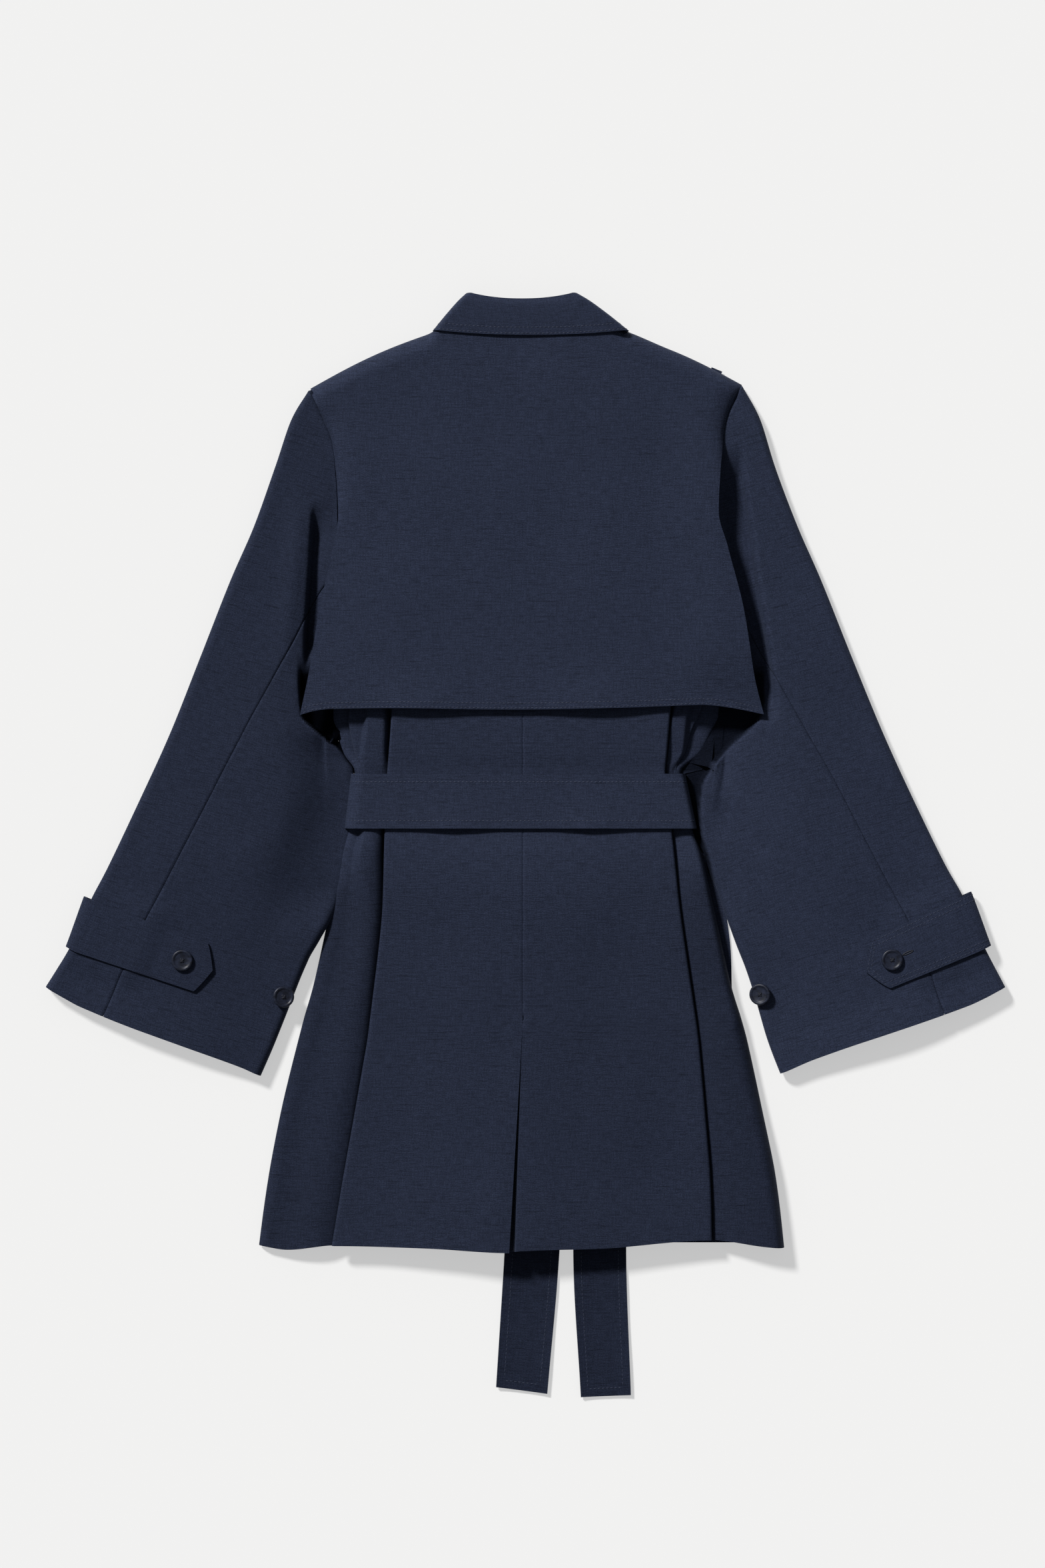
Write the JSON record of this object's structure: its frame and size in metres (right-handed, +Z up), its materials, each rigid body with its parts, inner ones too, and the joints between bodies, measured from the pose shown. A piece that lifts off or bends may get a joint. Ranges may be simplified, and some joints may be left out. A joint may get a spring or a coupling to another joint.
{
  "type": "short trench jacket",
  "caption": "Short trench jacket in wool cloth laid face down with sleeves spread: loose back flap, turned-down collar, tied cloth belt, cuff straps, pleated flared back with a vent.",
  "frame": {"origin": "middle of the outline, on the surface the jacket lies on", "axes": "+Z up from the surface to the back of the jacket, +Y from hem to collar, +X to the jacket's right side as seen from above"},
  "size_m": [0.8334, 0.9607, 0.0277],
  "materials": {
    "wool": "matte, brushed",
    "button": "satin"
  },
  "bodies": {
    "root": {"back_left": "wool", "back_right": "wool", "storm_flap": "wool", "front_left": "wool", "front_right": "wool", "collar_fall": "wool", "collar_stand": "wool", "top_sleeve_left": "wool", "under_sleeve_left": "wool", "top_sleeve_right": "wool", "under_sleeve_right": "wool", "cuff_strap_left": "wool", "cuff_strap_right": "wool", "belt_band": "wool", "belt_knot": "wool", "belt_tail_left": "wool", "belt_tail_right": "wool", "shoulder_loop": "wool", "strap_button_left": "button", "strap_button_right": "button", "cuff_button_left": "button", "cuff_button_right": "button"}
  },
  "joints": []
}
